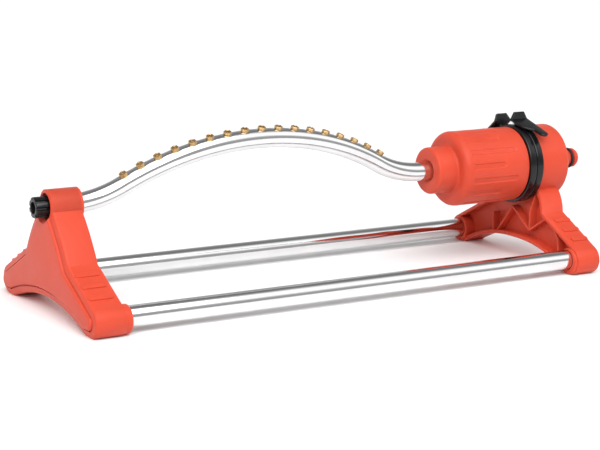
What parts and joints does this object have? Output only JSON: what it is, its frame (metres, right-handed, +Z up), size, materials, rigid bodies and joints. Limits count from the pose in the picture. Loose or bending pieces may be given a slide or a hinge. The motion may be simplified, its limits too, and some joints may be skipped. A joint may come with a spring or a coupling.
{
  "type": "oscillating sprinkler",
  "caption": "Oscillating lawn sprinkler: an arched spray tube with brass nozzles swings between two A-shaped end frames on twin base tubes, driven by a water motor with limiter rings.",
  "frame": {"origin": "on the ground, under the middle of the overall length and width", "axes": "+X along the sprinkler towards the hose inlet, +Y to the back, +Z up"},
  "size_m": [0.499, 0.1788, 0.1315],
  "materials": {
    "red_plastic": "moulded red-orange plastic, satin gloss",
    "black_plastic": "black moulded plastic, glossy",
    "white_plastic": "natural acetal gears and bushes",
    "rubber": "black sealing rubber",
    "polished_tube": "drawn tube polished bright",
    "brass": "turned brass",
    "steel": "stainless steel pins, screws and screen"
  },
  "bodies": {
    "base": {"left_frame": "red_plastic", "right_frame": "red_plastic", "base_tube_front": "polished_tube", "base_tube_back": "polished_tube", "left_bush": "white_plastic", "ring_gear": "white_plastic", "journal_sleeve": "black_plastic", "sleeve_screw_1": "steel", "sleeve_screw_2": "steel", "sleeve_screw_3": "steel", "inlet_connector": "red_plastic", "inlet_seal": "rubber", "filter_screen": "steel"},
    "spray_arm": {"spray_tube": "polished_tube", "nozzle_01": "brass", "nozzle_02": "brass", "nozzle_03": "brass", "nozzle_04": "brass", "nozzle_05": "brass", "nozzle_06": "brass", "nozzle_07": "brass", "nozzle_08": "brass", "nozzle_09": "brass", "nozzle_10": "brass", "nozzle_11": "brass", "nozzle_12": "brass", "nozzle_13": "brass", "nozzle_14": "brass", "nozzle_15": "brass", "nozzle_16": "brass", "nozzle_17": "brass", "drive_housing": "red_plastic", "tube_seal": "rubber", "jet_plate": "black_plastic", "gear_pin_1": "steel", "gear_pin_2": "steel", "bearing_plate": "black_plastic", "journal_seal": "rubber"},
    "end_plug": {"end_plug": "black_plastic", "end_plug_seal": "rubber", "cleaning_pin": "steel"},
    "turbine": {"turbine_wheel": "white_plastic", "turbine_axle": "steel", "turbine_pinion": "white_plastic"},
    "gear_1": {"reduction_gear_1": "white_plastic"},
    "gear_2": {"reduction_gear_2": "white_plastic"},
    "reversing_lever": {"reversing_lever": "black_plastic"},
    "limit_ring_front": {"limit_ring_front": "black_plastic"},
    "limit_ring_back": {"limit_ring_back": "black_plastic"}
  },
  "joints": [
    {"name": "spray_swing", "type": "hinge", "parent": "base", "child": "spray_arm", "pos_m": [-0.0095, 0, 0.0815], "axis": [1, 0, 0], "range_deg": [-60.5, 29.5]},
    {"name": "gear_2_spin", "type": "hinge", "parent": "spray_arm", "child": "gear_2", "pos_m": [0.1555, -0.01267, 0.08885], "axis": [1, 0, 0], "continuous": true},
    {"name": "gear_1_spin", "type": "hinge", "parent": "spray_arm", "child": "gear_1", "pos_m": [0.1485, 0, 0.0961], "axis": [1, 0, 0], "continuous": true},
    {"name": "turbine_spin", "type": "hinge", "parent": "spray_arm", "child": "turbine", "pos_m": [0.1305, 0, 0.0815], "axis": [1, 0, 0], "continuous": true},
    {"name": "lever_flip", "type": "hinge", "parent": "spray_arm", "child": "reversing_lever", "pos_m": [0.1655, 0, 0.0555], "axis": [1, 0, 0], "range_deg": [-12, 12]},
    {"name": "end_plug_pull", "type": "slide", "parent": "spray_arm", "child": "end_plug", "axis": [-1, 0, 0], "range_m": [0, 0.04]},
    {"name": "front_limit_turn", "type": "hinge", "parent": "base", "child": "limit_ring_front", "pos_m": [0.1885, 0, 0.0815], "axis": [1, 0, 0], "range_deg": [0, 50]},
    {"name": "back_limit_turn", "type": "hinge", "parent": "base", "child": "limit_ring_back", "pos_m": [0.1815, 0, 0.0815], "axis": [1, 0, 0], "range_deg": [-45, 12]}
  ],
  "couplings": [
    {"joint": "gear_2_spin", "follows": "spray_swing", "ratio": -4},
    {"joint": "gear_1_spin", "follows": "spray_swing", "ratio": 12},
    {"joint": "turbine_spin", "follows": "spray_swing", "ratio": -36}
  ]
}
